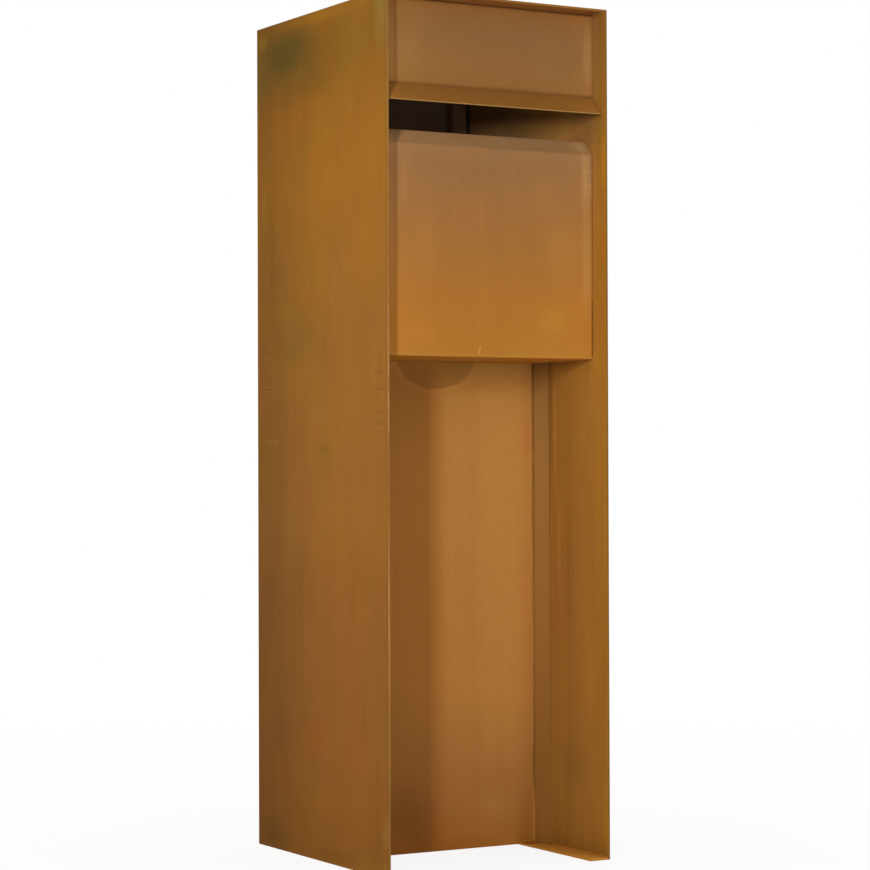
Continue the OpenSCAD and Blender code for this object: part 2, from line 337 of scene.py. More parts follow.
def dress(node, material, name=None, bevel=0.00035, seg=2, angle=25, shape=None):
    """A refined copy of a CAD node: merged faces, rounded arrises, its own patina."""
    me = NODES[node].data.copy()
    me.name = name or node + "_patina"
    bm = bmesh.new()
    bm.from_mesh(me)
    bmesh.ops.remove_doubles(bm, verts=bm.verts, dist=2e-6)
    bmesh.ops.dissolve_limit(bm, angle_limit=math.radians(0.6), verts=bm.verts, edges=bm.edges)
    if shape:
        shape(bm)
    if bevel:
        es = [e for e in bm.edges if len(e.link_faces) == 2 and e.calc_face_angle(0) > math.radians(angle)]
        bmesh.ops.bevel(bm, geom=es, offset=bevel, segments=seg, profile=0.5, affect="EDGES", clamp_overlap=True)
    bmesh.ops.recalc_face_normals(bm, faces=bm.faces)
    bm.to_mesh(me)
    bm.free()
    me.materials.clear()
    me.materials.append(material)
    me.validate()
    ob = bpy.data.objects.new(name or node + "_patina", me)
    COLL.objects.link(ob)
    finish_mesh(ob)
    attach(ob, BODY[node])
    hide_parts(node)
    return ob


# --------------------------------------------------------------------------- materials

M = {}


def inside_box(t, P, y_edge=-120.0, soft=45.0):
    """1 inside the mail compartment, fading in behind the letter slot."""
    m = t.mul(smooth_gt(t, P["z"], 707.5, 0.5), smooth_lt(t, P["z"], 1196.8, 0.3))
    return t.mul(m, smooth_gt(t, P["y"], y_edge, soft))


# ---- left plate
t = Tree("patina_left_plate")
P = place(t)
outer = patina(
    t, P["y"], P["z"],
    [(0, (129, 81, 31)), (60, (134, 84, 33)), (150, (139, 88, 38)), (300, (142, 91, 40)), (400, (146, 94, 42)), (480, (152, 99, 45)),
     (640, (154, 101, 45)), (820, (156, 103, 42)), (960, (161, 105, 37)), (1060, (157, 102, 36)), (1110, (149, 98, 33)), (1150, (143, 95, 31)), (1200, (149, 100, 34))],
    wide=[(-198, 1.0), (-120, 1.02), (-20, 0.98), (60, 0.88), (140, 0.74), (198, 0.66)],
    marks=[(96, 1140, 150, 84, (110, 80, 32), 0.80, 0.0, 0.45),
           (112, 1150, 108, 42, (94, 76, 33), 0.85, 0.1, 0.5),
           (184, 1130, 40, 70, (104, 86, 46), 0.60, 0.0, 0.3),
           (180, 1178, 26, 18, (142, 104, 42), 0.6, 0.1, 0.4),
           (-100, 1140, 90, 80, (146, 106, 38), 0.65, 0.0, 0.5),
           (150, 850, 11, 120, (116, 80, 30), 0.5, 0.0, 0.3),
           (176, 930, 8, 60, (140, 104, 44), 0.4, 0.0, 0.3),
           (-60, 1080, 60, 50, (156, 108, 38), 0.4, 0.0, 0.4),
           (-60, 380, 120, 150, (150, 94, 42), 0.55, 0.0, 0.5),
           (-90, 250, 90, 110, (146, 88, 42), 0.5, 0.0, 0.5),
           (128, 310, 13, 140, (112, 78, 32), 0.32, 0.0, 0.4),
           (165, 520, 12, 160, (124, 86, 38), 0.4, 0.0, 0.4),
           (60, 1000, 60, 70, (140, 98, 34), 0.5, 0.0, 0.5),
           (-40, 960, 110, 80, (168, 106, 36), 0.55, 0.0, 0.6),
           (-140, 850, 60, 90, (170, 108, 34), 0.55, 0.0, 0.5),
           (60, 745, 80, 60, (132, 94, 42), 0.5, 0.0, 0.6),
           (27, 797, 34, 17, (152, 92, 38), 0.55, 0.0, 0.5),
           (-154, 756, 24, 15, (146, 92, 50), 0.6, 0.0, 0.5),
           (86, 716, 36, 24, (128, 92, 36), 0.65, 0.0, 0.6),
           (106, 776, 28, 26, (140, 104, 38), 0.5, 0.0, 0.5),
           (-12, 580, 22, 15, (130, 92, 32), 0.6, 0.0, 0.5),
           (0, 626, 32, 24, (160, 108, 52), 0.5, 0.0, 0.6),
           (-20, 560, 60, 60, (142, 96, 42), 0.4, 0.0, 0.5),
           (90, 480, 50, 60, (136, 92, 42), 0.4, 0.0, 0.5),
           (20, 300, 60, 60, (146, 90, 44), 0.4, 0.0, 0.5),
           (10, 1120, 120, 70, (128, 90, 34), 0.45, 0.0, 0.4),
           (-20, 1192, 170, 14, (168, 112, 34), 0.55, 0.1, 0.3),
           (-184, 1182, 34, 96, (150, 120, 64), 0.65, 0.1, 0.3),
           (-190, 1000, 9, 120, (158, 112, 34), 0.45, 0.1, 0.3),
           (126, 165, 36, 70, (106, 72, 28), 0.45, 0.0, 0.5),
           (6, 170, 56, 40, (146, 84, 36), 0.75, 0.0, 0.6),
           (-112, 160, 50, 50, (146, 84, 38), 0.7, 0.0, 0.6),
           (-40, 90, 100, 26, (142, 90, 36), 0.5, 0.0, 0.5),
           (-130, 8, 80, 24, (136, 94, 36), 0.55, 0.0, 0.4),
           (150, 20, 70, 34, (96, 62, 22), 0.6, 0.0, 0.4),
           (-60, 12, 120, 14, (112, 72, 24), 0.5, 0.0, 0.4),
           (-198, 64, 20, 36, (146, 104, 58), 0.85, 0.1, 0.5),
           (-170, 52, 5, 24, (112, 66, 30), 0.5, 0.1, 0.3),
           (-190, 14, 12, 14, (140, 100, 36), 0.6, 0.2, 0.3)],
    seed=3.0, lines=0.09, streak=0.06, hue=0.7, mottle=0.12)
# faint curved scratch and the dark line beside the front edge
d = t.math("SQRT", t.add(t.math("POWER", t.math("SUBTRACT", P["y"], 148.0), 2.0), t.math("POWER", t.math("SUBTRACT", P["z"], 651.0), 2.0)))
outer = t.mix(t.mul(t.mul(band(t, d, 59.4, 60.6, 0.6), smooth_lt(t, P["z"], 596.0, 2.5)), 0.45), outer, lin((168, 122, 66)))
outer = t.mix(t.mul(band(t, P["y"], -196.8, -193.6, 0.9), 0.35), outer, lin((120, 72, 30)))
# fine level scratches beside both edges, about the height of the box's underside
ln = t.noise(150.0, 1, 0.5, seed=19, stretch=(0.05, 0.05, 1))
near = t.math("MAXIMUM", t.mul(band(t, P["y"], 164.0, 190.0, 5.0), band(t, P["z"], 650.0, 745.0, 14.0)),
              t.mul(band(t, P["y"], -192.0, -164.0, 5.0), band(t, P["z"], 600.0, 695.0, 14.0)))
outer = t.mix(t.mul(near, t.range(ln, 0.60, 0.70, 0.0, 0.36)), outer, lin((172, 126, 72)))
outer = t.mix(t.mul(near, t.range(ln, 0.42, 0.32, 0.0, 0.35)), outer, lin((112, 74, 30)))
inner = patina(t, P["y"], P["z"],
               [(0, (112, 70, 28)), (200, (126, 80, 34)), (500, (134, 86, 38)), (706, (130, 84, 38)), (1200, (132, 88, 42))],
               wide=[(-198, 1.06), (-100, 1.0), (198, 0.92)], seed=61.0, streak=0.12)
outer = t.mix(smooth_gt(t, P["z"], 1060.0, 60.0), outer, t.mix(1.0, outer, (0.94, 0.93, 0.86, 1), "MULTIPLY"))
outer = t.mix(smooth_lt(t, P["z"], 110.0, 60.0), outer, t.mix(1.0, outer, (1.01, 0.99, 0.90, 1), "MULTIPLY"))
col = t.mix(smooth_gt(t, P["nx"], 0.0, 0.4), outer, inner)
edge = t.mix(smooth_gt(t, P["z"], 1090.0, 40.0), lin((158, 114, 62)), lin((144, 110, 66)))
edge = t.mix(smooth_lt(t, P["z"], 800.0, 100.0), edge, lin((152, 108, 56)))
pale = t.math("MAXIMUM", band(t, P["z"], 600.0, 790.0, 50.0), band(t, P["z"], 260.0, 430.0, 70.0))
edge = t.mix(t.mul(pale, 0.8), edge, lin((178, 130, 90)))
edge = t.mix(smooth_lt(t, P["z"], 110.0, 50.0), edge, lin((138, 96, 54)))
edge = t.mix(t.range(t.noise(40.0, 3, 0.6, seed=5), 0.4, 0.7, 0.0, 0.5), edge, lin((132, 88, 36)))
col = t.mix(t.mul(smooth_lt(t, P["ny"], -0.6, 0.15), 0.95), col, edge)
M["left"] = finish(t, col, GAIN["left"], raw=sheltered(t, P),
                   raw_mask=t.mul(inside_box(t, P), smooth_gt(t, P["nx"], 0.2, 0.2)))

# ---- right plate
t = Tree("patina_right_plate")
P = place(t)
inner = patina(
    t, P["y"], P["z"],
    [(0, (116, 75, 27)), (60, (124, 79, 30)), (180, (130, 82, 32)), (330, (136, 86, 34)), (640, (142, 92, 36)), (700, (142, 92, 35)),
     (730, (138, 89, 32)), (900, (140, 89, 33)), (1000, (136, 88, 33)), (1050, (130, 86, 36)), (1200, (122, 78, 36))],
    wide=[(-198, 1.03), (-170, 1.02), (-130, 0.98), (-90, 0.92), (-48, 0.93), (0, 0.92), (198, 0.92)],
    marks=[(-62, 600, 9, 130, (164, 110, 50), 0.35, 0.0, 0.3),
           (-73, 430, 5, 150, (158, 108, 50), 0.4, 0.0, 0.3),
           (-94, 420, 7, 160, (122, 72, 24), 0.4, 0.0, 0.3),
           (-118, 400, 6, 120, (148, 98, 38), 0.35, 0.0, 0.3),
           (-190, 862, 8, 34, (150, 88, 26), 0.7, 0.1, 0.3),
           (-192, 990, 9, 60, (166, 104, 26), 0.6, 0.1, 0.3),
           (-100, 120, 60, 60, (112, 68, 26), 0.5, 0.0, 0.4),
           (-192, 60, 8, 70, (130, 96, 34), 0.5, 0.1, 0.3),
           (-60, 430, 12, 150, (136, 78, 34), 0.35, 0.0, 0.4),
           (-150, 300, 20, 200, (150, 98, 36), 0.4, 0.0, 0.4)],
    seed=11.0, streak=0.16, lines=0.04)
inner = t.mix(smooth_lt(t, P["y"], -168.0, 14.0), inner, t.mix(1.0, inner, (1.0, 1.0, 0.78, 1), "MULTIPLY"))
inner = t.mix(t.mul(band(t, P["y"], -199.0, -188.5, 2.5), 0.5), inner, t.mix(1.0, inner, (1.06, 1.08, 0.86, 1), "MULTIPLY"))
inner = t.mix(t.mul(smooth_gt(t, P["y"], -182.0, 6.0), smooth_gt(t, P["z"], 880.0, 90.0)), inner, t.mix(1.0, inner, (1.0, 1.01, 1.42, 1), "MULTIPLY"))
inner = t.mix(smooth_lt(t, P["z"], 70.0, 40.0), inner, t.mix(1.0, inner, (0.97, 0.91, 0.87, 1), "MULTIPLY"))
# painted shade: narrow dark line down the plate under the box, along the edge of the web's flange
inner = t.mix(t.mul(t.mul(band(t, P["y"], -56.0, -48.0, 2.0), band(t, P["z"], 520.0, 720.0, 60.0)), 0.45), inner, lin((104, 62, 24)))
outer = patina(t, P["y"], P["z"],
               [(0, (118, 76, 30)), (150, (132, 84, 36)), (400, (146, 94, 42)), (800, (152, 100, 44)), (1050, (150, 100, 40)), (1200, (142, 96, 38))],
               wide=[(-198, 1.0), (0, 1.0), (198, 0.85)],
               marks=[(120, 1120, 90, 80, (104, 78, 36), 0.6, 0.0, 0.4), (-120, 180, 60, 70, (142, 84, 40), 0.5, 0.0, 0.5),
                      (40, 700, 80, 160, (160, 104, 44), 0.4, 0.0, 0.5)], seed=13.0, streak=0.12, lines=0.04)
col = t.mix(smooth_gt(t, P["nx"], 0.0, 0.4), inner, outer)
edge = t.mix(t.range(t.noise(40.0, 3, 0.6, seed=6), 0.4, 0.7), lin((106, 70, 24)), lin((98, 62, 20)))
col = t.mix(t.mul(smooth_lt(t, P["ny"], -0.6, 0.15), 0.95), col, edge)
# the inner plate behind the slot: sheltered rust, lighter toward the rear
slot_rust_and_light = stops(t, P["y"], [(-170, (148, 99, 46)), (-140, (148, 101, 50)), (-110, (154, 106, 54)), (-70, (168, 117, 58)), (-20, (172, 122, 64)), (60, (164, 122, 76))])
slot_rust_and_light = t.mix(1.0, slot_rust_and_light, t.mix(t.range(t.noise(26.0, 4, 0.6, seed=72), 0.36, 0.70), (1.06, 1.06, 1.06, 1), (0.92, 0.92, 0.90, 1)), "MULTIPLY")
# painted light: the upper part is made lighter, lifting the lip's shadow
slot_rust_and_light = t.mix(smooth_gt(t, P["z"], 1036.0, 44.0), slot_rust_and_light, t.mix(1.0, slot_rust_and_light, (1.45, 1.42, 1.36, 1), "MULTIPLY"))
# painted shade: beyond the stop post the plate is near black, for the dark corner there
slot_rust_and_light = t.mix(smooth_gt(t, P["y"], 177.0, 2.5), slot_rust_and_light, (0.24, 0.15, 0.085, 1))
M["right"] = finish(t, col, GAIN["right"], raw=slot_rust_and_light,
                    raw_mask=t.mul(inside_box(t, P, -125.0, 40.0), smooth_lt(t, P["nx"], -0.2, 0.2)))

# ---- roof
t = Tree("patina_roof")
P = place(t)
top = patina(t, P["x"], P["y"], [(-198, (140, 92, 40)), (0, (134, 90, 44)), (198, (140, 94, 42))],
             wide=[(-178, 0.96), (0, 1.0), (178, 0.96)], marks=[(40, 60, 90, 60, (118, 84, 42), 0.4, 0.0, 0.5)],
             seed=17.0, streak=0.02, mottle=0.14, warp=0.6)
col = t.mix(t.mul(smooth_lt(t, P["ny"], -0.6, 0.15), 0.9), top, t.mix(smooth_gt(t, P["x"], 40.0, 90.0), lin((122, 77, 34)), lin((134, 89, 38))))
col = t.mix(t.mul(smooth_lt(t, P["nz"], -0.5, 0.2), smooth_lt(t, P["y"], -160.0, 4.0)), col, t.mix(1.0, lin((146, 93, 44)), t.mix(t.grain[2], (0.9, 0.9, 0.9, 1), (1.1, 1.1, 1.1, 1)), "MULTIPLY"))
M["roof"] = finish(t, col, GAIN["roof"], raw=sheltered(t, P),
                   raw_mask=t.mul(smooth_lt(t, P["nz"], -0.5, 0.2), smooth_gt(t, P["y"], -158.0, 3.0)))

# ---- hood
t = Tree("patina_hood")
P = place(t)
# painted light: the face is lighter at its left end, lifting the left plate's cast shadow, and at its right end (wide
# stops and the mark at x 168), partly painted light reflected from the right plate
face = patina(
    t, P["x"], P["z"],
    [(1050, (138, 89, 34)), (1070, (134, 87, 36)), (1079, (132, 88, 41)), (1083, (143, 98, 51)), (1110, (143, 98, 54)), (1150, (138, 96, 55)),
     (1178, (142, 97, 54)), (1197, (152, 100, 50))],
    wide=[(-175, 1.22), (-160, 1.20), (-148, 1.03), (-125, 1.0), (-90, 0.90), (-20, 0.87), (60, 0.87), (120, 0.92), (150, 1.08), (166, 1.20), (175, 1.20)],
    marks=[(168, 1135, 12, 70, (172, 126, 74), 0.65, 0.15, 0.2),
           (110, 1133, 52, 44, (132, 94, 54), 0.75, 0.3, 0.25),
           (150, 1188, 22, 7, (156, 98, 46), 0.6, 0.1, 0.4),
           (-135, 1120, 40, 50, (150, 104, 56), 0.5, 0.0, 0.4),
           (-120, 1062, 60, 12, (134, 88, 40), 0.5, 0.0, 0.4)],
    seed=23.0, streak=0.045, mottle=0.05, hue=0.2, warp=0.12)
# painted shade: dark hairline in the crease where the face folds into the lip
dark = t.mul(band(t, P["z"], 1077.0, 1081.5, 1.6), smooth_lt(t, P["y"], -163.5, 0.5))
face = t.mix(t.mul(dark, 0.35), face, lin((104, 66, 30)))
ct = t.vmath("DOT_PRODUCT", t.n, (0.0, -0.7071, -0.7071))
face = t.mix(t.mul(smooth_gt(t, ct, 0.80, 0.08), smooth_lt(t, P["y"], -187.0, 1.0)), face, lin((162, 124, 70)))
# painted light: the left end of the face, in the left plate's cast shadow, is made lighter
side = t.mul(smooth_lt(t, P["x"], -147.0, 3.0), smooth_gt(t, P["z"], 1080.0, 1.0))
face = t.mix(side, face, t.mix(1.0, face, (1.33, 1.29, 1.24, 1), "MULTIPLY"))
M["hood"] = finish(t, face, GAIN["hood"], raw=sheltered(t, P),
                   raw_mask=t.mul(smooth_gt(t, P["ny"], 0.25, 0.2), 1.0))

# ---- box
t = Tree("patina_box")
P = place(t)
# painted light: the face is lighter at its left end, lifting the left plate's cast shadow, and at its right end (wide
# stops, the marks at x 164 and 166 and the bevel's mark at x 158), partly painted light reflected from the right plate
face = patina(
    t, P["x"], P["z"],
    [(706, (181, 118, 46)), (730, (180, 115, 44)), (770, (178, 113, 45)), (820, (172, 111, 50)), (870, (166, 109, 54)),
     (920, (160, 108, 60)), (970, (154, 107, 65)), (996, (157, 111, 70)), (1003, (166, 120, 78)), (1018, (172, 126, 84))],
    wide=[(-175, 1.12), (-155, 1.10), (-146, 1.0), (-135, 0.97), (-100, 0.90), (-40, 0.86), (20, 0.86), (80, 0.90), (130, 0.93), (150, 1.03), (170, 1.10), (175, 1.06)],
    marks=[(164, 965, 13, 60, (186, 136, 84), 0.65, 0.1, 0.25), (166, 850, 12, 110, (186, 132, 68), 0.55, 0.1, 0.25),
           (-134, 940, 10, 80, (170, 118, 70), 0.35, 0.0, 0.3),
           (-55, 982, 60, 20, (148, 102, 60), 0.5, 0.0, 0.5), (50, 976, 50, 22, (147, 100, 60), 0.5, 0.0, 0.5),
           (-20, 905, 50, 40, (156, 102, 52), 0.4, 0.0, 0.5), (95, 930, 36, 40, (164, 112, 62), 0.35, 0.0, 0.5),
           (-100, 860, 30, 60, (172, 112, 54), 0.35, 0.0, 0.5), (20, 800, 70, 40, (168, 104, 42), 0.4, 0.0, 0.5),
           (110, 760, 50, 34, (184, 124, 46), 0.45, 0.0, 0.4), (-110, 740, 40, 26, (188, 120, 48), 0.4, 0.0, 0.4),
           (130, 860, 60, 70, (176, 118, 56), 0.4, 0.0, 0.4),
           (-30, 900, 60, 60, (158, 102, 52), 0.4, 0.0, 0.4),
           (158, 1010, 17, 11, (186, 142, 90), 0.5, 0.2, 0.3)],
    seed=29.0, streak=0.05, mottle=0.05, hue=0.22, warp=0.2, lines=0.02)
# painted light: the left end of the face, in the left plate's cast shadow, is made lighter
side = t.mul(smooth_lt(t, P["x"], -147.0, 3.0), smooth_gt(t, P["z"], 800.0, 60.0))
face = t.mix(side, face, t.mix(1.0, face, (1.20, 1.16, 1.12, 1), "MULTIPLY"))
# painted light: a lighter, bluer band down the right edge, light reflected from the right plate
face = t.mix(t.mul(smooth_gt(t, P["x"], 157.0, 5.0), smooth_gt(t, P["z"], 760.0, 40.0)), face, t.mix(1.0, face, (1.06, 1.10, 1.11, 1), "MULTIPLY"))
# pale wedge near the lower edge, small blemishes by the right edge, and a painted highlight along the lower fold
wedge = t.math("SUBTRACT", P["x"], t.add(-14.0, t.mul(t.math("SUBTRACT", P["z"], 714.0), 0.30)))
face = t.mix(t.mul(t.mul(band(t, wedge, -1.6, 1.2, 0.9), band(t, P["z"], 711.0, 720.5, 1.5)), 0.6), face, lin((196, 142, 76)))
for z0, r0 in ((973, 3.5), (955, 4.0), (944, 3.0)):
    face = t.mix(t.mul(blob(t, P["x"], P["z"], 171.5, z0, 2.6, r0, 0.2, 0.3), 0.5), face, lin((196, 146, 92)))
face = t.mix(t.mul(band(t, P["z"], 706.6, 709.4, 0.8), 0.35), face, lin((196, 140, 60)))
# painted shade: the underside's colour stands in for the shade under the box, dark brown stops brightened to suit the
# light it gets here
under = patina(t, P["x"], P["y"], [(-165, (96, 54, 20)), (-80, (104, 64, 26)), (0, (96, 60, 24)), (190, (100, 64, 28))],
               seed=31.0, streak=0.03, warp=0.4)
under = t.mix(1.0, under, (4.2, 4.4, 2.9, 1), "MULTIPLY")
down = smooth_lt(t, P["nz"], -0.62, 0.2)
face = t.mix(down, face, under)
M["tray"] = finish(t, face, GAIN["box"], raw=sheltered(t, P),
                   raw_mask=t.mul(t.math("MAXIMUM", smooth_gt(t, P["ny"], 0.2, 0.2), t.mul(smooth_gt(t, P["nz"], 0.8, 0.1), smooth_gt(t, P["y"], -140.0, 2.0))), smooth_gt(t, P["z"], 707.0, 0.5)))

# ---- web
t = Tree("patina_web")
P = place(t)
# painted light and shade: the top stop is lighter, lifting the shade under the box; across, the web is darker on the
# left, where the left plate's shadow falls, partly painted shade, as is the dark mark low on the left
face = patina(
    t, P["x"], P["z"],
    [(0, (128, 76, 30)), (20, (134, 82, 36)), (70, (140, 88, 42)), (150, (151, 98, 48)), (230, (162, 106, 51)), (380, (167, 110, 53)),
     (560, (172, 115, 57)), (680, (174, 118, 58)), (706, (190, 132, 68))],
    wide=[(-175, 0.90), (0, 0.92), (30, 0.86), (70, 0.89), (120, 0.98), (150, 1.0), (166, 0.95), (175, 0.93)],
    marks=[(164, 600, 9, 60, (168, 100, 50), 0.5, 0.1, 0.3),
           (160, 360, 12, 100, (168, 106, 54), 0.35, 0.0, 0.3),
           (110, 60, 60, 26, (142, 92, 48), 0.4, 0.0, 0.5),
           (-44, 44, 80, 84, (106, 64, 25), 0.5, 0.0, 0.55),
           (90, 100, 90, 34, (136, 84, 38), 0.4, 0.0, 0.5),
           (40, 4, 90, 16, (118, 68, 25), 0.45, 0.0, 0.5),
           (168, 14, 16, 18, (146, 92, 40), 0.5, 0.0, 0.5)],
    seed=37.0, streak=0.06, mottle=0.06, hue=0.22, warp=0.3)
# painted shade: the left part, in the left plate's cast shadow, is made darker and redder
face = t.mix(smooth_lt(t, P["x"], 24.0, 16.0), face, t.mix(1.0, face, (0.97, 0.92, 0.86, 1), "MULTIPLY"))
# painted light: the lit band right of the shadow edge is made lighter and bluer
face = t.mix(band(t, P["x"], 84.0, 148.0, 14.0), face, t.mix(1.0, face, (1.02, 1.05, 1.08, 1), "MULTIPLY"))
face = t.mix(smooth_lt(t, P["z"], 50.0, 30.0), face, t.mix(1.0, face, (0.98, 0.96, 0.84, 1), "MULTIPLY"))
# rounded darker patch under the box, with a paler rim
dx = t.math("DIVIDE", t.math("SUBTRACT", P["x"], 8.0), 66.0)
dz = t.math("DIVIDE", t.math("SUBTRACT", P["z"], 712.0), 46.0)
sd = t.math("SQRT", t.add(t.mul(dx, dx), t.mul(dz, dz)))
sd = t.add(sd, t.mul(t.math("SUBTRACT", t.noise(26.0, 3, 0.6, seed=9), 0.5), 0.26))
sd = t.add(sd, t.mul(smooth_gt(t, P["ny"], 0.0, 0.3), 9.0))
face = t.mix(t.mul(smooth_lt(t, sd, 0.965, 0.05), 0.9), face, t.mix(1.0, face, (0.76, 0.77, 0.70, 1), "MULTIPLY"))
face = t.mix(t.mul(band(t, sd, 0.99, 1.10, 0.035), 0.45), face, t.mix(1.0, face, (1.16, 1.14, 1.20, 1), "MULTIPLY"))
# painted shade: dark line in the fold; the flange is a little greyer, and darker toward both its long edges
fl = t.mul(smooth_lt(t, P["nx"], -0.6, 0.2), smooth_gt(t, P["x"], 150.0, 2.0))
flange = stops(t, t.add(P["z"], 0.0), [(0, (124, 79, 32)), (120, (130, 83, 36)), (330, (147, 101, 49)), (560, (154, 110, 58)), (640, (150, 107, 57)), (706, (140, 98, 50))])
flange = t.mix(1.0, flange, stops(t, P["y"], [(-48, 0.86), (-40, 0.93), (-20, 0.96), (-8, 0.93), (-4, 0.86)]), "MULTIPLY")
face = t.mix(t.mul(fl, 0.9), face, flange)
fx = t.add(P["x"], t.mul(t.math("SUBTRACT", t.noise(16.0, 3, 0.6, seed=18), 0.5), 5.0))
fold = t.mul(smooth_gt(t, fx, 171.4, 0.9), smooth_gt(t, P["y"], -8.0, 1.6))
fold = t.mul(fold, t.math("SUBTRACT", 1.0, t.mul(band(t, P["z"], 190.0, 410.0, 50.0), 0.5)))
face = t.mix(t.mul(fold, t.range(t.noise(12.0, 3, 0.6, seed=8, stretch=(1, 1, 0.6)), 0.35, 0.65, 0.45, 0.85)), face, lin((102, 64, 26)))
seam = t.mul(t.mul(band(t, P["x"], 171.6, 173.6, 0.4), smooth_gt(t, P["y"], -8.5, 0.8)), smooth_lt(t, P["z"], 75.0, 30.0))
face = t.mix(t.mul(seam, 0.6), face, lin((146, 98, 46)))
# painted shade: the flange's front edge is coloured dark so that it shows no lit rim
rim = t.mul(smooth_lt(t, P["ny"], -0.6, 0.2), smooth_lt(t, P["y"], -47.0, 0.4))
face = t.mix(t.mul(rim, 0.95), face, t.mix(smooth_gt(t, P["z"], 610.0, 60.0), lin((126, 82, 34)), lin((106, 69, 29))))
M["web"] = finish(t, face, GAIN["web"])

# ---- foot strips
t = Tree("patina_foot")
P = place(t)
face = patina(t, P["x"], P["y"], [(-198, (150, 98, 36)), (-100, (146, 94, 34)), (0, (140, 90, 32)), (198, (136, 88, 36))],
              marks=[(160, -190, 16, 10, (170, 114, 42), 0.5, 0.1, 0.4), (150, -120, 10, 26, (120, 78, 30), 0.5, 0.0, 0.5)],
              seed=41.0, streak=0.06, mottle=0.12, warp=0.3)
# painted light: the upper face of the strips in front of the web is made much lighter
up = t.mul(t.mul(smooth_gt(t, P["nz"], 0.55, 0.25), smooth_lt(t, P["y"], -30.0, 4.0)), smooth_lt(t, P["x"], 171.5, 1.5))
face = t.mix(up, face, t.mix(1.0, face, (1.62, 1.95, 2.3, 1), "MULTIPLY"))
# painted shade: that face is darker again next to the right plate
face = t.mix(t.mul(up, smooth_gt(t, P["x"], 160.0, 8.0)), face, t.mix(1.0, face, (0.90, 0.88, 0.86, 1), "MULTIPLY"))
M["foot"] = finish(t, face, (1.0, 0.97, 0.86))

# ---- stop post
t = Tree("patina_stop")
P = place(t)
face = patina(t, P["x"], P["z"], [(706, (118, 84, 58)), (1200, (118, 84, 58))], seed=43.0)
M["stop"] = finish(t, face, (0.6, 0.6, 0.6), raw=sheltered(t, P, (0.42, 0.27, 0.16)), raw_mask=1.0)

# ---- rear door
t = Tree("patina_door")
P = place(t)
face = patina(
    t, P["x"], P["z"],
    [(706, (140, 88, 38)), (780, (152, 98, 44)), (900, (158, 102, 46)), (1040, (150, 100, 50)), (1200, (136, 94, 48))],
    wide=[(-175, 0.94), (-90, 1.0), (40, 1.03), (175, 0.92)],
    marks=[(122, 900, 16, 60, (112, 68, 30), 0.5, 0.0, 0.4), (-150, 800, 14, 40, (116, 70, 30), 0.4, 0.0, 0.4),
           (-60, 1120, 80, 50, (124, 92, 50), 0.4, 0.0, 0.5), (60, 760, 70, 40, (164, 98, 46), 0.4, 0.0, 0.5)],
    seed=47.0, streak=0.13, mottle=0.1, lines=0.03)
door_inner_colour = sheltered(t, P, (0.285, 0.18, 0.10))
# a lighter, greyer band across the inner face, at the height of the slot and above
door_inner_colour = t.mix(t.mul(band(t, P["z"], 1046.0, 1150.0, 56.0), t.range(t.noise(6.0, 3, 0.6, seed=76), 0.2, 0.6, 0.75, 1.0)), door_inner_colour, t.mix(1.0, door_inner_colour, (1.36, 1.52, 1.85, 1), "MULTIPLY"))
M["door"] = finish(t, face, GAIN["web"], raw=door_inner_colour, raw_mask=smooth_lt(t, P["ny"], -0.5, 0.2))

# ---- hinges and welds
t = Tree("patina_hinge")
P = place(t)
face = patina(t, P["x"], P["z"], [(700, (118, 72, 34)), (1200, (124, 78, 38))], seed=53.0, fine=1.4)
M["hinge"] = finish(t, face, (0.6, 0.6, 0.6), rough=0.7)

t = Tree("patina_weld")
P = place(t)
face = patina(t, P["x"], P["z"], [(0, (142, 92, 38)), (706, (150, 96, 42)), (1200, (142, 96, 50))], seed=57.0, fine=1.5, streak=0.04)
M["weld"] = finish(t, face, GAIN["right"], rough=0.72)

M["pin"] = plain_metal("dull_pin_steel", (150, 146, 138), (98, 94, 88), 0.45, seed=2.0, rust_amount=0.5)
M["brass"] = plain_metal("tarnished_brass", (176, 146, 80), (112, 90, 44), 0.42, seed=5.0, rust_amount=0.2)
M["nickel"] = plain_metal("dulled_nickel", (190, 186, 176), (140, 136, 126), 0.34, seed=7.0, rust_amount=0.3)
M["zinc"] = plain_metal("zinc_plate", (166, 164, 156), (118, 116, 108), 0.45, seed=9.0, rust_amount=0.45)

for node, mat in (("side_plate_left", "left"), ("side_plate_right", "right"), ("roof_plate", "roof"),
                  ("hood_front", "hood"), ("box_tray", "tray"), ("web_panel", "web"),
                  ("foot_strip_left", "foot"), ("foot_strip_right", "foot"), ("door_stop_strip", "stop"),
                  ("rear_door", "door")):
    dress(node, M[mat])
for node, mat in (("hinge_lower_fixed_barrel", "hinge"), ("hinge_lower_door_barrel", "hinge"),
                  ("hinge_upper_fixed_barrel", "hinge"), ("hinge_upper_door_barrel", "hinge"),
                  ("hinge_lower_pin", "pin"), ("hinge_upper_pin", "pin"), ("hinge_washers", "brass"),
                  ("lock_housing", "nickel"), ("lock_nut", "zinc"), ("lock_plug", "nickel"),
                  ("lock_cam", "zinc"), ("cam_washer", "zinc"), ("cam_screw", "zinc")):
    dress(node, M[mat], bevel=0.0002, angle=35)

# --------------------------------------------------------------------------- weld beads


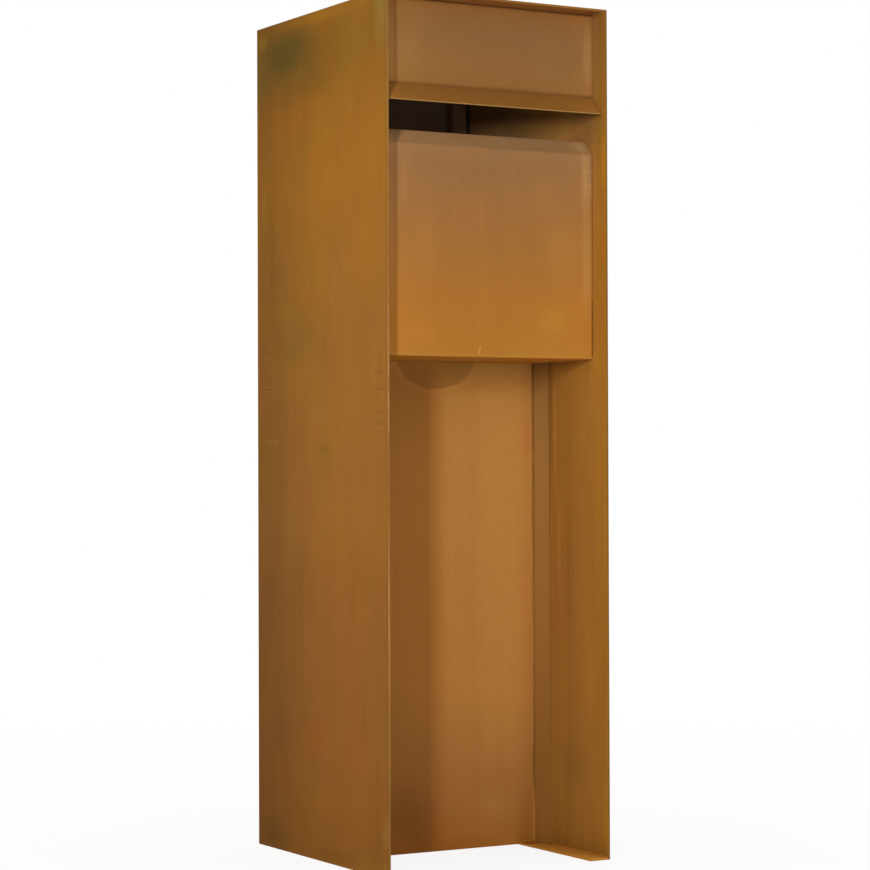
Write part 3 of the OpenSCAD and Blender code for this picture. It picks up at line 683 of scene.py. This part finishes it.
def bead(name, runs, mat="weld", body="root", pitch=1.6):
    """One object of weld beads. Each run: (start, end, leg a, leg b, size, seed), where the legs are
    unit directions along the two faces, out of the corner."""
    bm = bmesh.new()
    for p0, p1, na, nb, size, seed in runs:
        p0, p1, na, nb = (Vector(v) for v in (p0, p1, na, nb))
        rng = random.Random(seed)
        length = (p1 - p0).length
        n = max(4, int(length / pitch))
        ph = rng.random() * 6.28
        rings = []
        for i in range(n + 1):
            f = i / n
            c = p0.lerp(p1, f)
            end = min(1.0, min(f, 1 - f) * length / (size * 1.6) + 0.25)
            r = size * end * (1 + 0.07 * math.sin(ph + i * 2.4) + rng.uniform(-0.05, 0.05))
            ring = []
            for k in range(6):
                a = k / 5.0
                w = math.sin(math.pi * a)
                v = na * (1 - a) + nb * a
                v = v * (1.0 - 0.10 * w)
                ring.append(c + v * r)
            ring.append(c - (na + nb) * 0.15)
            rings.append([bm.verts.new(v * 0.001) for v in ring])
        m = len(rings[0])
        for i in range(n):
            for k in range(m):
                bm.faces.new((rings[i][k], rings[i][(k + 1) % m], rings[i + 1][(k + 1) % m], rings[i + 1][k]))
        bm.faces.new(rings[0])
        bm.faces.new(rings[-1][::-1])
    bmesh.ops.recalc_face_normals(bm, faces=bm.faces)
    me = bpy.data.meshes.new(name)
    bm.to_mesh(me)
    bm.free()
    me.materials.append(M[mat])
    for q in me.polygons:
        q.use_smooth = True
    me.set_sharp_from_angle(angle=math.radians(50))
    ob = bpy.data.objects.new(name, me)
    COLL.objects.link(ob)
    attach(ob, body)
    return ob


X, Y, Z = (1, 0, 0), (0, 1, 0), (0, 0, 1)
nX, nY, nZ = (-1, 0, 0), (0, -1, 0), (0, 0, -1)


def stitches(p0, p1, na, nb, size, run, gap, seed):
    p0, p1 = Vector(p0), Vector(p1)
    length = (p1 - p0).length
    n = max(1, int((length + gap) // (run + gap)))
    step = length / n
    out = []
    for i in range(n):
        a = p0.lerp(p1, (i * step + (step - run) / 2) / length)
        b = p0.lerp(p1, (i * step + (step + run) / 2) / length)
        out.append((a, b, na, nb, size, seed + i))
    return out


# foot strips to the plates and to the web
bead("weld_foot_right", [((175, -196, 3), (175, -50, 3), nX, Z, 1.4, 1), ((175, 1, 3), (175, 196, 3), nX, Z, 2.4, 2),
                         ((146, -4, 3), (171, -4, 3), nY, Z, 1.8, 3), ((146, -2, 3), (174, -2, 3), Y, Z, 2.4, 4)], mat="foot")
bead("weld_foot_left", [((-175, 1, 3), (-175, 196, 3), X, Z, 2.4, 5), ((-174, -2, 3), (-146, -2, 3), Y, Z, 2.4, 6)], mat="foot")
# web flanges to the plates, and web to the box
bead("weld_web", [((175, -2, 5), (175, -2, 704), nX, Y, 2.2, 50), ((-175, -2, 5), (-175, -2, 704), X, Y, 2.2, 51),
        ((-170, -2, 706), (170, -2, 706), Y, nZ, 2.2, 52)])
bead("weld_box_under", stitches((175, -158, 706), (175, -52, 706), nX, nZ, 1.8, 22, 30, 60)
     + stitches((-175, -158, 706), (-175, -52, 706), X, nZ, 1.8, 22, 30, 70)
     + stitches((175, 4, 706), (175, 184, 706), nX, nZ, 2.0, 25, 30, 80)
     + stitches((-175, 4, 706), (-175, 170, 706), X, nZ, 2.0, 25, 30, 90))
# roof and hood
bead("weld_roof", [((175, -196, 1197), (175, -167, 1197), nX, nZ, 1.4, 100), ((-175, -196, 1197), (-175, -167, 1197), X, nZ, 1.4, 101)]
     + stitches((175, -140, 1197), (175, 180, 1197), nX, nZ, 2.0, 30, 40, 102)
     + stitches((-175, -140, 1197), (-175, 180, 1197), X, nZ, 2.0, 30, 40, 120))
bead("weld_hood", [((175, -165, 1084), (175, -165, 1192), nX, nY, 1.3, 130), ((-175, -165, 1084), (-175, -165, 1192), X, nY, 1.3, 131)],
     mat="right")
bead("weld_stop_post", stitches((175, 187.7, 740), (175, 187.7, 1180), nX, nY, 2.0, 22, 60, 140)
     + [((142, 171.7, 1197), (142, 187.0, 1197), X, nZ, 1.8, 160), ((143, 171.7, 1197), (160, 171.7, 1197), Y, nZ, 1.8, 161)])
# hinge barrels
ax, ay = -170.5, 193.5
bead("weld_hinges_fixed", [((-175, ay - 3, z + 1), (-175, ay - 3, z + 29), X, nY, 1.6, z) for z in (790, 1100)]
     + [((-175, ay + 3, z + 1), (-175, ay + 3, z + 29), X, Y, 1.2, z + 1) for z in (790, 1100)],
     mat="hinge")


def crown(name, runs, mat, body):
    """Low rounded bead lying flat on a face: (start, end, across, out, half width, height, seed)."""
    bm = bmesh.new()
    for p0, p1, na, no, hw, ht, seed in runs:
        p0, p1, na, no = (Vector(v) for v in (p0, p1, na, no))
        rng = random.Random(seed)
        length = (p1 - p0).length
        n = max(4, int(length / 1.5))
        rings = []
        for i in range(n + 1):
            f = i / n
            c = p0.lerp(p1, f)
            e = min(1.0, min(f, 1 - f) * length / (hw * 1.5) + 0.2)
            k = 1 + 0.07 * math.sin(i * 2.3 + seed) + rng.uniform(-0.05, 0.05)
            ring = [c + na * (hw * e * k * math.cos(math.pi * j / 6)) + no * (ht * e * k * math.sin(math.pi * j / 6)) for j in range(7)]
            ring.append(c - no * 0.15)
            rings.append([bm.verts.new(v * 0.001) for v in ring])
        m = len(rings[0])
        for i in range(n):
            for j in range(m):
                bm.faces.new((rings[i][j], rings[i][(j + 1) % m], rings[i + 1][(j + 1) % m], rings[i + 1][j]))
        bm.faces.new(rings[0])
        bm.faces.new(rings[-1][::-1])
    bmesh.ops.recalc_face_normals(bm, faces=bm.faces)
    me = bpy.data.meshes.new(name)
    bm.to_mesh(me)
    bm.free()
    me.materials.append(M[mat])
    for q in me.polygons:
        q.use_smooth = True
    ob = bpy.data.objects.new(name, me)
    COLL.objects.link(ob)
    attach(ob, body)
    return ob


crown("weld_hinges_door", [((-165.5, 193.0, z + 2), (-165.5, 193.0, z + 28), X, Y, 1.8, 0.9, z) for z in (821.3, 1131.3)],
      "hinge", "door")

# ground-down seam between the box's side folds and the plates, and its closed lower corners
crown("weld_box_sides", [((sg * 172.85, -163.55, 787), (sg * 172.85, -163.55, 996.5), X, nY, 2.05, 1.15, 170 + sg) for sg in (1, -1)],
      "tray", "root")


def corner_fill(name, sgn):
    """Closes the small gap between the lower fold and the side fold."""
    bm = bmesh.new()
    rings = []
    for z in (709.2, 710.2, 711.2, 712.6):
        ring = [bm.verts.new(Vector((sgn * (171.0 + 3.97 * math.sin(a)), -161.0 - 3.97 * math.cos(a), z)) * 0.001)
                for a in [math.radians(15.0 * i) for i in range(7)]]
        ring += [bm.verts.new(Vector((sgn * (171.0 + 2.2 * math.sin(a)), -161.0 - 2.2 * math.cos(a), z)) * 0.001)
                 for a in [math.radians(15.0 * i) for i in range(6, -1, -1)]]
        rings.append(ring)
    m = len(rings[0])
    for i in range(len(rings) - 1):
        for j in range(m):
            bm.faces.new((rings[i][j], rings[i][(j + 1) % m], rings[i + 1][(j + 1) % m], rings[i + 1][j]))
    bm.faces.new(rings[0])
    bm.faces.new(rings[-1][::-1])
    bmesh.ops.recalc_face_normals(bm, faces=bm.faces)
    me = bpy.data.meshes.new(name)
    bm.to_mesh(me)
    bm.free()
    me.materials.append(M["tray"])
    ob = bpy.data.objects.new(name, me)
    COLL.objects.link(ob)
    finish_mesh(ob, 40)
    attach(ob, "root")


corner_fill("box_corner_right", 1.0)
corner_fill("box_corner_left", -1.0)

# --------------------------------------------------------------------------- stage, light, camera


def plane(name, pts, mat):
    me = bpy.data.meshes.new(name)
    me.from_pydata(pts, [], [tuple(range(len(pts)))])
    me.materials.append(mat)
    ob = bpy.data.objects.new(name, me)
    COLL.objects.link(ob)
    return ob


tf = Tree("pale_floor")
fx, fy, _fz = tf.xyz(tf.p)
far = tf.range(tf.math("SQRT", tf.add(tf.mul(fx, fx), tf.mul(fy, fy))), 0.3, 2.4, 0.88, 1.0)
tf.put(tf.bsdf.inputs["Base Color"], tf.mix(tf.noise(2.0, 3, 0.5), (0.90, 0.90, 0.895, 1), (0.93, 0.93, 0.925, 1)))
tf.bsdf.inputs["Roughness"].default_value = 0.95
tf.bsdf.inputs["Specular IOR Level"].default_value = 0.05
glow = tf.nt.nodes.new("ShaderNodeEmission")
glow.inputs["Color"].default_value = (1, 1, 1, 1)
both = tf.nt.nodes.new("ShaderNodeMixShader")
tf.nt.links.new(far, both.inputs[0])
tf.nt.links.new(tf.bsdf.outputs[0], both.inputs[1])
tf.nt.links.new(glow.outputs[0], both.inputs[2])
tf.nt.links.new(both.outputs[0], tf.out.inputs[0])
plane("floor", [(-60, -60, 0), (60, -60, 0), (60, 60, 0), (-60, 60, 0)], tf.mat)
floor = bpy.data.objects["floor"]

world = bpy.data.worlds.new("studio")
scene.world = world
world.use_nodes = True
bg = world.node_tree.nodes["Background"]
bg.inputs["Color"].default_value = (1.0, 1.0, 1.0, 1)
bg.inputs["Strength"].default_value = 1.0

# a tall, narrow soft box: crisp upright shadow edges, soft level ones
AZ, DIST = math.radians(43.4), 5.0
lit = bpy.data.collections.new("lit_by_key")
for name, z0, z1, energy in (("key_low", 0.74, 1.84, KEY * 0.88), ("key_high", 1.38, 2.70, KEY * 0.12)):
    kl = bpy.data.lights.new(name, "AREA")
    kl.shape = "RECTANGLE"
    kl.size = 0.40
    kl.size_y = z1 - z0
    kl.energy = energy
    kl.color = KEY_COLOR
    key = bpy.data.objects.new(name, kl)
    key.location = (-math.sin(AZ) * DIST, -math.cos(AZ) * DIST, (z0 + z1) / 2)
    key.rotation_euler = Vector((math.sin(AZ), math.cos(AZ), 0)).to_track_quat("-Z", "Y").to_euler()
    key.visible_camera = False
    COLL.objects.link(key)
    key.light_linking.receiver_collection = lit
for ob in scene.objects:
    if ob.type == "MESH" and ob is not floor:
        lit.objects.link(ob)

cam = bpy.data.cameras.new("camera")
cam.sensor_width = 36.0
cam.lens = 108.4428
cam.clip_start = 0.05
cam.clip_end = 300.0
co = bpy.data.objects.new("camera", cam)
r = Vector((0.86655253, -0.49907509, -0.00328103))
u = Vector((-0.00245291, -0.01083283, 0.99993831))
b = Vector((-0.49907985, -0.86649103, -0.0106114))
co.matrix_world = Matrix(((r.x, u.x, b.x, -1.8813), (r.y, u.y, b.y, -3.2825), (r.z, u.z, b.z, 0.5601), (0, 0, 0, 1)))
COLL.objects.link(co)
scene.camera = co

scene.view_settings.view_transform = "Standard"
scene.view_settings.look = "None"

bpy.context.view_layer.update()
